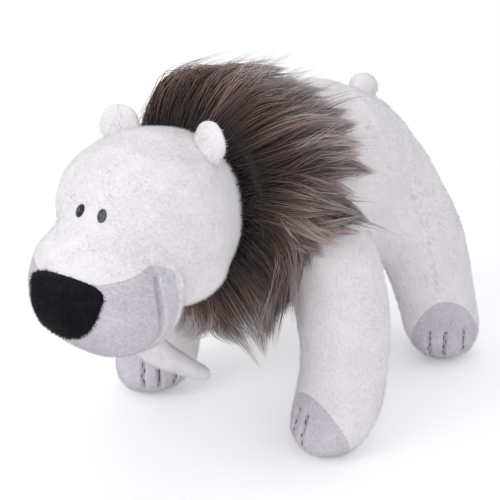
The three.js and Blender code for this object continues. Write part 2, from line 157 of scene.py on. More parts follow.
def fan(around, tip, first, last=False):
    """Faces between a point and a ring, turned the other way at a form's last end."""
    ring = np.arange(around)
    pair = (first + (ring + 1) % around, first + ring)
    return np.stack([np.full(around, tip), *(pair[::-1] if last else pair)], axis=1).tolist()


def tube(around, count):
    """Faces of a form of so many rings, whose points are followed by the one at its start and the one at its end."""
    faces = [f for k in range(count - 1) for f in band(around, k * around, (k + 1) * around)]
    return faces + fan(around, count * around, 0) + fan(around, count * around + 1, (count - 1) * around, last=True)


def loft(form, side=1.0, facing=None, around=96, step=2.5):
    """Closed rounded form along its spine: (points, faces), outward."""
    spine = np.array(form["spine"], float) * (side, 1, 1)
    sizes = [(w, h, 0) for w, h in zip(form["wide"], form["high"])]
    fine = np.linspace(0, 1, 1001)
    path = through(spine, fine)
    run = np.r_[0, np.cumsum(np.linalg.norm(np.diff(path, axis=0), axis=1))]
    start, finish = form["ends"]
    blunt = form["blunt"]

    def rounding(end):
        """How far from the tip the rings of a rounded end stand."""
        turn = np.linspace(0, math.pi / 2, max(int(end / step), 6) + 1)
        return end * (1 - np.cos(turn))[1:-1]

    def soft(d, end):
        return (1 - (1 - np.clip(d / end, 0, 1)) ** blunt) ** (1 / blunt)

    middle = np.linspace(start, run[-1] - finish, max(int((run[-1] - start - finish) / step), 2) + 1)
    along = np.r_[rounding(start), middle, (run[-1] - rounding(finish))[::-1]]
    share = np.interp(along, run, fine)
    centre = through(spine, share)
    if facing is None:
        ahead = unit(through(spine, share + 1e-3) - through(spine, share - 1e-3))
    else:
        ahead = np.tile(facing, (len(share), 1)).astype(float)
    across = unit(np.array([1.0, 0, 0]) - ahead * ahead[:, :1])
    rise = np.cross(across, ahead)
    size = through(sizes, share)[:, :2] * (soft(along, start) * soft(run[-1] - along, finish))[:, None]
    angle = np.linspace(0, 2 * math.pi, around, endpoint=False)
    rings = (centre[:, None] + across[:, None] * (size[:, :1] * np.cos(angle))[..., None]
             + rise[:, None] * (size[:, 1:] * np.sin(angle))[..., None])
    points = np.vstack([rings.reshape(-1, 3), path[:1], path[-1:]])
    return points, outward(points, tube(around, len(share)))


def outward(points, faces):
    """The same faces, turned so that the closed form's volume is positive."""
    volume = 0.0
    for f in faces:
        p = points[f]
        for k in range(1, len(f) - 1):
            volume += np.dot(p[0], np.cross(p[k], p[k + 1]))
    return faces if volume > 0 else [f[::-1] for f in faces]


def placed(name, data):
    """An object of the scene that holds a mesh, a lamp or a camera."""
    made = bpy.data.objects.new(name, data)
    bpy.context.scene.collection.objects.link(made)
    return made


def piece(name, points, faces, material=None, rounded=True):
    """A mesh object at the origin from points in millimetres."""
    mesh = bpy.data.meshes.new(name)
    mesh.from_pydata((np.asarray(points) * MM).tolist(), [], [list(map(int, f)) for f in faces])
    mesh.update()
    if rounded:
        mesh.shade_smooth()
    if material:
        mesh.materials.append(material)
    return placed(name, mesh)


def wire(name, lines):
    """An object of plain lines that all have the same number of points."""
    count, steps = lines.shape[:2]
    links = [(k * steps + j, k * steps + j + 1) for k in range(count) for j in range(steps - 1)]
    mesh = bpy.data.meshes.new(name)
    mesh.from_pydata((lines.reshape(-1, 3) * MM).tolist(), links, [])
    return placed(name, mesh)


def settled(source):
    """Plain mesh of an object with its modifiers worked in; the object goes."""
    mesh = bpy.data.meshes.new_from_object(source.evaluated_get(bpy.context.evaluated_depsgraph_get()))
    rough = source.data
    bpy.data.objects.remove(source)
    bpy.data.meshes.remove(rough)
    return mesh


def read(items, name, width=1, kind=float):
    """One value of each item of a mesh, as an array."""
    found = np.empty(len(items) * width, kind)
    items.foreach_get(name, found)
    return found.reshape(-1, width) if width > 1 else found


def arrays(mesh):
    """(points in millimetres, list of faces) of a mesh, which goes."""
    points = read(mesh.vertices, "co", 3) / MM
    corners = read(mesh.loops, "vertex_index", kind=int)
    faces = np.split(corners, read(mesh.polygons, "loop_start", kind=int)[1:])
    bpy.data.meshes.remove(mesh)
    return points, faces


def fused(forms, voxel):
    """One even skin round several closed forms: (points, faces)."""
    faces, count = [], 0
    for points, own in forms:
        faces += [[i + count for i in face] for face in own]
        count += len(points)
    rough = piece("rough_form", np.vstack([points for points, _ in forms]), faces)
    remesh = rough.modifiers.new("skin", "REMESH")
    remesh.mode = "VOXEL"
    remesh.voxel_size = voxel * MM
    return arrays(settled(rough))


def stacked(faces):
    """The faces grouped by their number of corners, as arrays."""
    lengths = np.array([len(f) for f in faces])
    return [np.array([faces[i] for i in np.flatnonzero(lengths == n)]) for n in np.unique(lengths)]


def edges_of(faces):
    """Each edge once, as an array of pairs."""
    pairs = [np.stack([f, np.roll(f, -1, axis=1)], axis=2).reshape(-1, 2) for f in stacked(faces)]
    return np.unique(np.sort(np.vstack(pairs), axis=1), axis=0)


def middles_of(points, faces):
    return np.array([points[f].mean(axis=0) for f in faces])


def gathered(index, values, count):
    """Sum of the values that fall to each point."""
    return np.stack([np.bincount(index, weights=values[:, axis], minlength=count) for axis in range(3)], axis=1)


def normals_of(points, faces):
    """The way straight out at each point, from the faces round it."""
    total = np.zeros_like(points)
    for group in stacked(faces):
        corner = points[group]
        if group.shape[1] > 3:
            first, second = corner[:, 2] - corner[:, 0], corner[:, -1] - corner[:, 1]
        else:
            first, second = corner[:, 1] - corner[:, 0], corner[:, 2] - corner[:, 0]
        flat = np.cross(first, second)
        for k in range(group.shape[1]):
            total += gathered(group[:, k], flat, len(points))
    return unit(total)


def relaxed(points, edges, weight, rounds):
    """Points eased towards their neighbours' middle, each by its own weight."""
    count = np.bincount(edges.ravel(), minlength=len(points))
    points = points.copy()
    for _ in range(rounds):
        middle = sum(gathered(edges[:, k], points[edges[:, 1 - k]], len(points)) for k in (0, 1))
        middle /= np.maximum(count, 1)[:, None]
        points += (middle - points) * weight[:, None]
    return points


def tree_of(points, faces):
    """Search tree of a form, for rays and nearest places."""
    return BVHTree.FromPolygons(points.tolist(), faces)


def away_from(form, points):
    """Distance of each point from a form's surface."""
    tree = tree_of(*form)
    return np.array([tree.find_nearest(p)[3] for p in points.tolist()])


def nearest_on(tree, points):
    return np.array([tree.find_nearest(Vector(p))[0] for p in points])


def laid_on(tree, path, steps=12):
    """A path settled on a skin, with more points."""
    return nearest_on(tree, through(path, np.linspace(0, 1, steps)))


def upon(tree, start, way):
    """(place, outward normal) where a ray first meets a form."""
    place, normal = tree.ray_cast(Vector(start), Vector(way))[:2]
    return np.array(place), np.array(normal)


def ripple(points, size, seed, waves=10):
    """Smooth unevenness between about -1 and 1, with bumps of about the given size."""
    rng = np.random.default_rng(seed)
    lean = unit(rng.normal(size=(waves, 3))) * (2 * math.pi / size) * rng.uniform(0.6, 1.3, (waves, 1))
    return np.sin(points @ lean.T + rng.uniform(0, 2 * math.pi, waves)).sum(axis=1) / math.sqrt(waves / 2) / 1.6


def bell(distance, width):
    return np.exp(-(distance / width) ** 2)


def smooth(share):
    share = np.clip(share, 0, 1)
    return share * share * (3 - 2 * share)


def near_path(points, path):
    """Distance of each point from a polyline, and the share of the path where it is nearest."""
    path = np.asarray(path, float)
    best = np.full(len(points), 1e9)
    share = np.zeros(len(points))
    for k in range(len(path) - 1):
        leg = path[k + 1] - path[k]
        t = np.clip(((points - path[k]) @ leg) / (leg @ leg), 0, 1)
        gap = np.linalg.norm(points - path[k] - t[:, None] * leg, axis=1)
        nearer = gap < best
        best = np.where(nearer, gap, best)
        share = np.where(nearer, (k + t) / (len(path) - 1), share)
    return best, share


def reworked(points, faces, work):
    """A skin after some work on its faces and edges: (points, faces)."""
    mesh = bpy.data.meshes.new("skin")
    mesh.from_pydata(points.tolist(), [], [list(map(int, f)) for f in faces])
    skin = bmesh.new()
    skin.from_mesh(mesh)
    skin.faces.ensure_lookup_table()
    work(skin)
    skin.to_mesh(mesh)
    skin.free()
    points, faces = arrays(mesh)
    return points * MM, faces


def refined(points, faces, paths, reach):
    """The same skin with the faces near the paths split in four, for work finer than the rest."""
    def gap_to(spots):
        return np.min([near_path(spots, path)[0] for path in paths], axis=0)

    near = np.flatnonzero(gap_to(middles_of(points, faces)) < reach)

    def split(skin):
        edges = list({e for k in near for e in skin.faces[k].edges})
        bmesh.ops.subdivide_edges(skin, edges=edges, cuts=1, use_grid_fill=True)

    points, faces = reworked(points, faces, split)
    fresh = gap_to(points) < reach + 1
    return relaxed(points, edges_of(faces), 0.5 * fresh, 3), faces


def parted(points, faces, cuts, snap=0.02):
    """The skin cut along planes, each given by the faces that it may touch, a point on it and its normal."""
    def part(skin):
        for where, place, across in cuts:
            near = [f for f in skin.faces if where(f.calc_center_median())]
            touched = list({g for f in near for g in (*f.verts, *f.edges)}) + near
            bmesh.ops.bisect_plane(skin, geom=touched, dist=snap, plane_co=place, plane_no=across)

    return reworked(points, faces, part)


def pressed(points, normals, path, deep, wide, pucker=0.0, step=7.0):
    """The skin pulled in along a sewn line, plumper beside it and, with pucker, gathered in small folds."""
    gap, share = near_path(points, path)
    run = np.linalg.norm(np.diff(path, axis=0), axis=1).sum()
    ends = smooth(share * run / 4) * smooth((1 - share) * run / 4)
    fall = deep * bell(gap, wide) - 0.22 * deep * bell(gap, 3.2 * wide)
    fall += pucker * bell(gap, 3 * wide) * np.sin(2 * math.pi * share * run / step)
    return points - normals * (fall * ends)[:, None]


SWELL_VOXEL, SWELL_FRAMES = 5.0, 20
SWELL = dict(quality=4, tension_stiffness=25, compression_stiffness=25, bending_stiffness=1.5,
             use_pressure=True, uniform_pressure_force=4)


def swelled(points, faces, forms, most):
    """The skin after its stuffing has swelled it as cloth: its size stays, its folds and hollows come out."""
    coarse, coarse_faces = fused(forms, SWELL_VOXEL)
    balloon = piece("swelling", coarse, coarse_faces)
    cloth = balloon.modifiers.new("swell", "CLOTH")
    for name, value in SWELL.items():
        setattr(cloth.settings, name, value)
    cloth.settings.effector_weights.gravity = 0
    cloth.collision_settings.use_collision = False
    cloth.point_cache.frame_end = SWELL_FRAMES
    for number in range(1, SWELL_FRAMES + 1):
        bpy.context.scene.frame_set(number)
    full = arrays(settled(balloon))[0]
    bpy.context.scene.frame_set(1)
    rise = ((full - coarse) * normals_of(coarse, coarse_faces)).sum(axis=1)
    rise = np.clip(rise - np.median(rise), -most, most)
    near = KDTree(len(coarse))
    for k, p in enumerate(coarse.tolist()):
        near.insert(p, k)
    near.balance()
    carried = np.empty(len(points))
    for k, p in enumerate(points.tolist()):
        found = near.find_n(p, 4)
        weight = np.array([1 / (gap + 0.5) for _, _, gap in found])
        carried[k] = (weight * rise[[i for _, i, _ in found]]).sum() / weight.sum()
    return points + normals_of(points, faces) * carried[:, None]


def stuffed(points, faces, forms, join, rounds, even, even_rounds, most, ripples):
    """A fused skin eased where its forms join and then all over, swelled by its stuffing and left a little uneven."""
    gaps = np.sort([away_from(form, points) for form in forms], axis=0)
    edges = edges_of(faces)
    points = relaxed(points, edges, JOIN_EASE * bell(gaps[0] + gaps[1], join), rounds)
    points = relaxed(points, edges, np.full(len(points), even), even_rounds)
    points = swelled(points, faces, forms, most)
    lift = sum(height * ripple(points, size, seed) for height, size, seed in ripples)
    return points + normals_of(points, faces) * lift[:, None]


# ---------------------------------------------------------------- node trees

def feed(tree, target, given):
    """Sets a node's inputs to values, to outputs of other nodes, or to the first output where a node is given."""
    for key, value in given.items():
        if isinstance(value, bpy.types.Node):
            value = value.outputs[0]
        if isinstance(value, bpy.types.NodeSocket):
            tree.links.new(value, target.inputs[key])
        else:
            target.inputs[key].default_value = value


def node(tree, kind, given=None, **settings):
    """A new node with its settings and what its inputs are given."""
    made = tree.nodes.new(kind)
    for name, value in settings.items():
        setattr(made, name, value)
    feed(tree, made, given or {})
    return made


def tree_with(name, given, sockets, made):
    """An empty Geometry Nodes tree with its named inputs: (tree, what it is given, output node)."""
    tree = bpy.data.node_groups.new(name, "GeometryNodeTree")
    tree.interface.new_socket(given, in_out="INPUT", socket_type="NodeSocketGeometry")
    for label, kind, value in sockets:
        socket = tree.interface.new_socket(label, in_out="INPUT", socket_type="NodeSocket" + kind)
        if value is not None:
            socket.default_value = value
    tree.interface.new_socket(made, in_out="OUTPUT", socket_type="NodeSocketGeometry")
    return tree, tree.nodes.new("NodeGroupInput").outputs, tree.nodes.new("NodeGroupOutput")


def close_tree(tree, end, shape, material):
    """The last steps of a tree: its copies become one plain mesh of one material."""
    real = node(tree, "GeometryNodeRealizeInstances", {"Geometry": shape})
    feed(tree, end, {0: node(tree, "GeometryNodeSetMaterial", {"Geometry": real, "Material": material})})
    return tree


def grown(tree, source, name, **settings):
    """The plain mesh object that a Geometry Nodes tree makes from a source object, which goes."""
    grow = source.modifiers.new("grow", "NODES")
    grow.node_group = tree
    for socket in tree.interface.items_tree:
        if socket.in_out == "INPUT" and socket.name in settings:
            grow[socket.identifier] = settings[socket.name]
    return placed(name, settled(source))


def pile_tree():
    """Geometry Nodes: tapered tufts scattered over a skin, leaning the way the pile is brushed, in patches."""
    tree, start, end = tree_with("plush_pile", "Skin", (
        ("Density", "Float", 400000.0), ("Length", "Float", 0.0022), ("Width", "Float", 0.0003),
        ("Brushed", "Vector", (0, 0.5, -0.6)), ("Seed", "Int", 1), ("Plush", "Material", None)), "Tufts")
    spots = node(tree, "GeometryNodeDistributePointsOnFaces",
                 {"Mesh": start["Skin"], "Density": start["Density"], "Seed": start["Seed"]})
    patches = node(tree, "ShaderNodeTexNoise", {"Scale": 55, "Vector": node(tree, "GeometryNodeInputPosition")})
    swirl = node(tree, "ShaderNodeVectorMath",
                 {0: patches.outputs["Color"], 1: (2.4, 2.4, 2.4), 2: (-1.2, -1.2, -1.2)}, operation="MULTIPLY_ADD")
    loose = node(tree, "FunctionNodeRandomValue",
                 {0: (-0.35, -0.35, -0.35), 1: (0.35, 0.35, 0.35), "Seed": start["Seed"]}, data_type="FLOAT_VECTOR")
    way = spots.outputs["Normal"]
    for part in (start["Brushed"], swirl, loose):
        way = node(tree, "ShaderNodeVectorMath", {0: way, 1: part}, operation="ADD")
    turned = node(tree, "FunctionNodeAlignRotationToVector", {"Vector": way}, axis="Z")
    kept = node(tree, "GeometryNodeStoreNamedAttribute",
                {"Name": "skin_normal", "Geometry": spots, "Value": spots.outputs["Normal"]},
                data_type="FLOAT_VECTOR", domain="POINT")
    tuft = node(tree, "GeometryNodeMeshCone",
                {"Vertices": 3, "Radius Bottom": start["Width"], "Depth": start["Length"]})
    size = node(tree, "FunctionNodeRandomValue", {2: 0.55, 3: 1.25, "Seed": start["Seed"]}, data_type="FLOAT")
    set_on = node(tree, "GeometryNodeInstanceOnPoints",
                  {"Points": kept, "Instance": tuft, "Rotation": turned, "Scale": size.outputs[1]})
    return close_tree(tree, end, set_on, start["Plush"])


def thread_tree():
    """Geometry Nodes: a sewn thread along each line, as stitches with a small gap between them."""
    tree, start, end = tree_with("sewn_thread", "Lines", (
        ("Thread Radius", "Float", 0.00035), ("Stitch", "Float", 0.0042), ("Thread", "Material", None)), "Sewing")
    lines = node(tree, "GeometryNodeMeshToCurve", {"Mesh": start["Lines"]})
    steps = node(tree, "GeometryNodeResampleCurve", {"Curve": lines, "Length": start["Stitch"]}, mode="LENGTH")
    spots = node(tree, "GeometryNodeCurveToPoints", {"Curve": steps}, mode="EVALUATED")
    stitch = node(tree, "GeometryNodeMeshUVSphere", {"Segments": 8, "Rings": 6, "Radius": start["Thread Radius"]})
    set_on = node(tree, "GeometryNodeInstanceOnPoints",
                  {"Points": spots, "Instance": stitch, "Rotation": spots.outputs["Rotation"], "Scale": (1, 1, 5.2)})
    return close_tree(tree, end, set_on, start["Thread"])


def hair_tree():
    """Geometry Nodes: each guide becomes a lock of tapered hairs that gather at the tip."""
    tree, start, end = tree_with("fur_locks", "Guides", (
        ("Hairs", "Int", 30), ("Root Spread", "Float", 0.0066), ("Tip Spread", "Float", 0.0013),
        ("Hair Radius", "Float", 0.00027), ("Shortest", "Float", 0.62), ("Seed", "Int", 1),
        ("Fur", "Material", None)), "Locks")
    lines = node(tree, "GeometryNodeMeshToCurve", {"Mesh": start["Guides"]})
    copies = node(tree, "GeometryNodeDuplicateElements", {"Geometry": lines, "Amount": start["Hairs"]},
                  domain="SPLINE")
    own = node(tree, "GeometryNodeCurveOfPoint").outputs["Curve Index"]

    def each(kind, low, high, step):
        """A random value for each hair, given the socket that holds the lowest value."""
        first, out = (0, 0) if kind == "FLOAT_VECTOR" else (2, 1)
        seed = node(tree, "ShaderNodeMath", {0: start["Seed"], 1: step}, operation="ADD")
        given = {first: low, first + 1: high, "ID": own, "Seed": seed}
        return node(tree, "FunctionNodeRandomValue", given, data_type=kind).outputs[out]

    length = node(tree, "FunctionNodeRandomValue", {2: start["Shortest"], 3: 1.0}, data_type="FLOAT").outputs[1]
    along = node(tree, "GeometryNodeSplineParameter").outputs["Factor"]
    spread = node(tree, "ShaderNodeMapRange",
                  {"Value": along, "From Min": 0.25, "From Max": 1.0,
                   "To Min": start["Root Spread"], "To Max": start["Tip Spread"]}, interpolation_type="SMOOTHSTEP")
    offset = node(tree, "ShaderNodeVectorMath",
                  {0: each("FLOAT_VECTOR", (-1, -1, -1), (1, 1, 1), 0), "Scale": spread}, operation="SCALE")
    moved = node(tree, "GeometryNodeSetPosition", {"Geometry": copies, "Offset": offset})
    trimmed = node(tree, "GeometryNodeTrimCurve", {"Curve": moved, "End": length}, mode="FACTOR")
    even = node(tree, "GeometryNodeResampleCurve", {"Curve": trimmed, "Count": 6})

    taper = node(tree, "ShaderNodeFloatCurve", {"Value": along})
    curve = taper.mapping.curves[0]
    curve.points[0].location = (0, 0.75)
    curve.points[1].location = (1, 0.06)
    curve.points.new(0.35, 1.0)
    curve.points.new(0.75, 0.6)
    taper.mapping.update()
    thick = node(tree, "ShaderNodeMath", {0: taper, 1: start["Hair Radius"]}, operation="MULTIPLY")

    hairs = even
    for label, value in (("along", along), ("shade", each("FLOAT", 0.0, 1.0, 5))):
        hairs = node(tree, "GeometryNodeStoreNamedAttribute", {"Name": label, "Geometry": hairs, "Value": value},
                     data_type="FLOAT", domain="POINT")
    ring = node(tree, "GeometryNodeCurvePrimitiveCircle", {"Resolution": 3, "Radius": 1.0})
    tubes = node(tree, "GeometryNodeCurveToMesh",
                 {"Curve": hairs, "Profile Curve": ring, "Scale": thick, "Fill Caps": True})
    return close_tree(tree, end, tubes, start["Fur"])


# ---------------------------------------------------------------- materials

def nodes_of(name):
    """(material, its node tree, its surface node, place on the object)."""
    material = bpy.data.materials.new(name)
    material.use_nodes = True
    tree = material.node_tree
    return material, tree, tree.nodes["Principled BSDF"], node(tree, "ShaderNodeTexCoord").outputs["Object"]


def ramp(tree, source, *stops):
    """Colours along a value, from (position, colour) stops."""
    made = node(tree, "ShaderNodeValToRGB", {"Fac": source})
    for k, (position, colour) in enumerate(stops):
        stop = made.color_ramp.elements[k] if k < 2 else made.color_ramp.elements.new(position)
        stop.position = position
        stop.color = (*colour, 1)
    return made


# sizes in millimetres of the painted-shade speckle between tufts and of the painted patches of pile
TUFT_SIZE, PATCH_SIZE = 1.3, 14


def plush(name, colour, shade, sheen=0.35):
    """Short plush pile: a fine speckle painted darker in the gaps between tufts as painted shade, patches painted
    lighter and darker as painted light and shade where the pile lies another way, and sheen at the edge.
    """
    material, tree, surface, place = nodes_of(name)
    tufts, patches = (node(tree, "ShaderNodeTexNoise", {"Scale": 1 / (size * MM), "Detail": 3, "Vector": place})
                      for size in (TUFT_SIZE, PATCH_SIZE))
    feed(tree, tufts, {"Roughness": 0.65})
    both = node(tree, "ShaderNodeMix", {"Factor": 0.35, "A": tufts, "B": patches}, data_type="FLOAT")
    feed(tree, surface, {
        "Base Color": ramp(tree, both, (0.34, shade), (0.6, colour)),
        "Normal": node(tree, "ShaderNodeBump", {"Strength": 0.5, "Distance": 0.8 * MM, "Height": tufts}),
        "Roughness": 0.95, "Specular IOR Level": 0.1, "Sheen Weight": sheen, "Sheen Roughness": 0.45})
    return material


def speckled(name, texture, scale, colour, dark, rough):
    """A plain surface that a fine texture darkens a little."""
    material, tree, surface, place = nodes_of(name)
    pattern = node(tree, texture, {"Scale": scale, "Vector": place}).outputs["Fac"]
    feed(tree, surface, {"Base Color": ramp(tree, pattern, (0, [c * dark for c in colour]), (1, colour)),
                         "Roughness": rough})
    return material


def fur(name):
    """Long mane fur: dark at the root, partly the fur's own dark root and partly painted shade deep in the mane,
    taupe along the hair, a random shade for each lock and hair, some tips frosted: the fringe's own pale tips, and
    over the top a painted highlight.
    """
    material, tree, surface, _ = nodes_of(name)
    along, shade, tone, frost = (node(tree, "ShaderNodeAttribute", attribute_name=label).outputs["Fac"]
                                 for label in ("along", "shade", "tone", "frost"))

    def mixed(kind, factor, first, second):
        return node(tree, "ShaderNodeMix", {"Factor": factor, 6: first, 7: second},
                    data_type="RGBA", blend_type=kind).outputs[2]

    # dark at the root: the fur's own dark roots, darkened further as painted shade deep in the mane
    root_to_tip = ramp(tree, along, (0.1, (0.034, 0.018, 0.013)), (1.0, (0.47, 0.38, 0.35)),
                       (0.48, (0.21, 0.138, 0.118)))
    hair = ramp(tree, shade, (0.0, (0.62, 0.6, 0.59)), (1.0, (1.75, 1.72, 1.7)), (0.8, (1.08, 1.06, 1.06)))
    lock = ramp(tree, tone, (0.25, (0.36, 0.3, 0.28)), (0.8, (1.75, 1.7, 1.68)))
    colour = mixed("MULTIPLY", 1.0, mixed("MULTIPLY", 1.0, root_to_tip, hair), lock)
    tip = node(tree, "ShaderNodeMapRange", {"From Min": 0.5, "From Max": 0.82, "Value": along},
               interpolation_type="SMOOTHSTEP")
    white = node(tree, "ShaderNodeMath", {0: tip, 1: frost}, operation="MULTIPLY")
    feed(tree, surface, {"Base Color": mixed("MIX", white, colour, (0.88, 0.86, 0.86, 1)), "Roughness": 0.5,
                         "Specular IOR Level": 0.3, "Sheen Weight": 0.15})
    return material


def eye_gloss():
    """Black moulded eye, a shade greyer towards its lower outer side, under a clear coat."""
    material, tree, surface, _ = nodes_of("eye_gloss")
    pale = node(tree, "ShaderNodeAttribute", attribute_name="pale").outputs["Fac"]
    feed(tree, surface, {"Base Color": ramp(tree, pale, (0.45, (0.004, 0.004, 0.005)), (0.62, (0.085, 0.09, 0.1))),
                         "Roughness": 0.2, "Specular IOR Level": 0.3, "Coat Weight": 0.35, "Coat Roughness": 0.05})
    return material


def wadding():
    """Loose white polyester wadding: soft cloudy fibre with open shade between."""
    material, tree, surface, place = nodes_of("wadding")
    fibre = node(tree, "ShaderNodeTexNoise", {"Scale": 260, "Detail": 5, "Distortion": 1.5, "Vector": place})
    feed(tree, surface, {
        "Base Color": ramp(tree, fibre, (0.3, (0.6, 0.6, 0.6)), (0.6, (0.85, 0.85, 0.85))),
        "Normal": node(tree, "ShaderNodeBump", {"Distance": 1.5 * MM, "Height": fibre}), "Roughness": 1.0})
    return material


# each plush: its colour, and the darker colour painted into the gaps between tufts and the patches as painted shade
PLUSH = {
    "white_plush": plush("white_plush", (0.9, 0.88, 0.89), (0.83, 0.805, 0.825)),
    "grey_plush": plush("grey_plush", (0.7, 0.665, 0.72), (0.53, 0.5, 0.555)),
    # white plush painted pale grey for the jaw: painted shade under the corner of the mouth
    "pale_grey_plush": plush("pale_grey_plush", (0.76, 0.74, 0.785), (0.64, 0.615, 0.67)),
    "black_plush": plush("black_plush", (0.014, 0.013, 0.018), (0.004, 0.004, 0.006), sheen=0.08)}
MANE_FUR = fur("mane_fur")
EYE_GLOSS = eye_gloss()
TOE_THREAD = speckled("toe_thread", "ShaderNodeTexWave", 900, (0.07, 0.06, 0.075), dark=0.5, rough=0.8)
WASHER_PLASTIC = speckled("washer_plastic", "ShaderNodeTexNoise", 600, (0.75, 0.75, 0.73), dark=0.9, rough=0.45)
PILE_TREE, THREAD_TREE, HAIR_TREE = pile_tree(), thread_tree(), hair_tree()


# ---------------------------------------------------------------- covers and pile

# faces whose middle is lower than this carry no pile: the soles stand on them
STANDING = 2.5
# how much of a tuft's own shading is mixed into that of the skin under it
OWN_SHARE = 0.12


def pile(name, points, faces, slot, body, density=0.5, length=1.9, width=0.12, brushed=(0, 0.6, -0.8)):
    """Plush pile over a skin, shaded with the skin it stands on so that it reads as nap and not as spikes."""
    source = piece(name + "_skin", points, [f for f in faces if points[f][:, 2].mean() > STANDING])
    made = grown(PILE_TREE, source, name, Density=density / MM ** 2, Length=length * MM, Width=width * MM,
                 Brushed=brushed, Seed=len(name), Plush=PLUSH[slot])
    mesh = made.data
    under, own = (read(items, "vector", 3) for items in (mesh.attributes["skin_normal"].data, mesh.vertex_normals))
    mixed = unit(under + OWN_SHARE * own)
    mesh.attributes.remove(mesh.attributes["skin_normal"])
    mesh.shade_smooth()
    mesh.normals_split_custom_set_from_vertices(mixed.tolist())
    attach(made, body)


def soft_piece(made, body, stands_for):
    """Says what a stuffed piece rides on and the nodes that it replaces."""
    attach(made, body)
    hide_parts(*stands_for)


def padded_piece(name, points, faces, slot, body, stands_for, fill, **nap):
    """A small stuffed piece with its pile."""
    soft_piece(piece(name, points, faces, PLUSH[slot]), body, stands_for)
    pile(name + "_pile", points, faces, slot, body, **nap)


def cover(name, points, normals, faces, slot, body, stands_for, **nap):
    """A stuffed cover: the outer faces, the same faces set in by the cloth, and a rim round each opening."""
    used = np.unique(np.concatenate(faces))
    place = np.full(len(points), -1)
    place[used] = np.arange(len(used))
    outer = [place[f] for f in faces]
    count = len(used)
    inner = [f[::-1] + count for f in outer]
    seen = dict.fromkeys((a, b) for f in outer for a, b in zip(f, np.roll(f, -1)))
    rim = [(b, a, a + count, b + count) for a, b in seen if (b, a) not in seen]
    both = np.vstack([points[used], points[used] - normals[used] * CLOTH])
    made = piece(name, both, outer + inner + rim, PLUSH[slot])
    made.data.normals_split_custom_set_from_vertices(np.vstack([normals[used], -normals[used]]).tolist())
    soft_piece(made, body, stands_for)
    pile(name + "_pile", points, faces, slot, body, **nap)


def covers(body, points, normals, faces, part, table, **nap):
    """The covers of one skin, from (part, name, slot, nodes that it replaces)."""
    for key, name, slot, stands_for in table:
        mine = [faces[i] for i in np.flatnonzero(part == key)]
        cover(name, points, normals, mine, slot, body, stands_for, **nap)


# ---------------------------------------------------------------- body: torso, legs and paw caps

leg_forms = {}
for side, sign in SIDES.items():
    for end, form in (("front", FRONT_LEG), ("hind", HIND_LEG)):
        points, faces = loft(form, sign, facing=(0, 0, -1))
        leg_forms[end, side] = (points - (0, 0, SOLE_CUT), faces)
torso_form = loft(TORSO)
body_forms = [torso_form, *leg_forms.values(), loft(HIP), loft(HIP, -1)]
body, body_faces = fused(body_forms, BODY_VOXEL)
body[:, 2] = np.maximum(body[:, 2], 0)
at_rump = smooth((body[:, 1] - RUMP_START) / RUMP_RUN)
body = stuffed(body, body_faces, body_forms, join=15 + 10 * at_rump, rounds=110, even=0.5, even_rounds=12,
               most=2.5, ripples=BODY_RIPPLES)


def toe_line(tree, end, side, turn):
    """Points up one toe line, on the front of a foot."""
    turn = math.radians(turn) * SIDES[side] * (-1 if end == "front" else 1)
    x, y, _ = FOOT_CENTRE[end]
    out = Vector((math.sin(turn), -math.cos(turn), 0))
    return np.array([tree.ray_cast(Vector((x * SIDES[side], y, z)) + out * TOE_AWAY, -out)[0]
                     for z in np.linspace(TOE_LOW, TOE_HIGH, TOE_POINTS)])


body_tree = tree_of(body, body_faces)
toe_lines = {(end, side, turn): toe_line(body_tree, end, side, turn)
             for (end, side), turns in TOES.items() for turn in turns}
leg_seams = [laid_on(body_tree, np.array(HIND_SEAM) * (sign, 1, 1), 16) for sign in SIDES.values()]
body, body_faces = refined(body, body_faces, [*toe_lines.values(), *leg_seams], 5)
body_normals = normals_of(body, body_faces)
for lines, press in ((toe_lines.values(), TOE_PRESS), (leg_seams, LEG_PRESS)):
    for line in lines:
        body = pressed(body, body_normals, line, **press)
body[:, 2] = np.maximum(body[:, 2], 0)


def cap_edge(end, side):
    """Centre of a paw cap's edge, the way it faces and its rise that way."""
    x, y = FOOT[end]
    level, rise, turn = CAP_EDGE[end]
    turn = math.radians(turn)
    return Vector((x * SIDES[side], y, level)), (math.sin(turn) * SIDES[side], -math.cos(turn)), rise


def cap_cut(end, side):
    """The plane of a paw cap's edge, and which faces it may touch."""
    centre, ahead, rise = cap_edge(end, side)
    lean = Vector((*ahead, 0)) * rise
    return (lambda c: c.z < CAP_TOP and (c.xy - centre.xy).length < CAP_REACH), centre, Vector((-lean.x, -lean.y, 1))


def in_cap(points, end, side):
    """Whether each point is below its paw cap's edge."""
    centre, ahead, rise = cap_edge(end, side)
    x, y = points[:, 0] - centre.x, points[:, 1] - centre.y
    height = points[:, 2] - centre.z - rise * (x * ahead[0] + y * ahead[1])
    return (height < 0) & (np.hypot(x, y) < CAP_REACH) & (points[:, 2] < CAP_TOP)


for end, side in leg_forms:
    body, body_faces = parted(body, body_faces, [cap_cut(end, side)])
body_normals = normals_of(body, body_faces)
middles = middles_of(body, body_faces)
region = np.full(len(body_faces), "torso", dtype=object)
nearest = away_from(torso_form, middles)
for (end, side), form in leg_forms.items():
    gap = away_from(form, middles)
    own = (gap < nearest) & (middles[:, 0] * SIDES[side] > 0)
    nearest = np.where(own, gap, nearest)
    region[own] = f"{end}_{side}"
body_covers = [("torso", "torso_cover", "white_plush", ["torso_skin", "torso_filling"])]
for end, side in leg_forms:
    region[in_cap(middles, end, side)] = f"cap_{end}_{side}"
    body_covers += [
        (f"{end}_{side}", f"{end}_leg_cover_{side}", "white_plush",
         [f"{end}_leg_skin_{side}", f"{end}_leg_filling_{side}"]),
        (f"cap_{end}_{side}", f"{end}_paw_{side}", "grey_plush", [f"{end}_paw_cap_{side}"])]
covers("torso", body, body_normals, body_faces, region, body_covers)

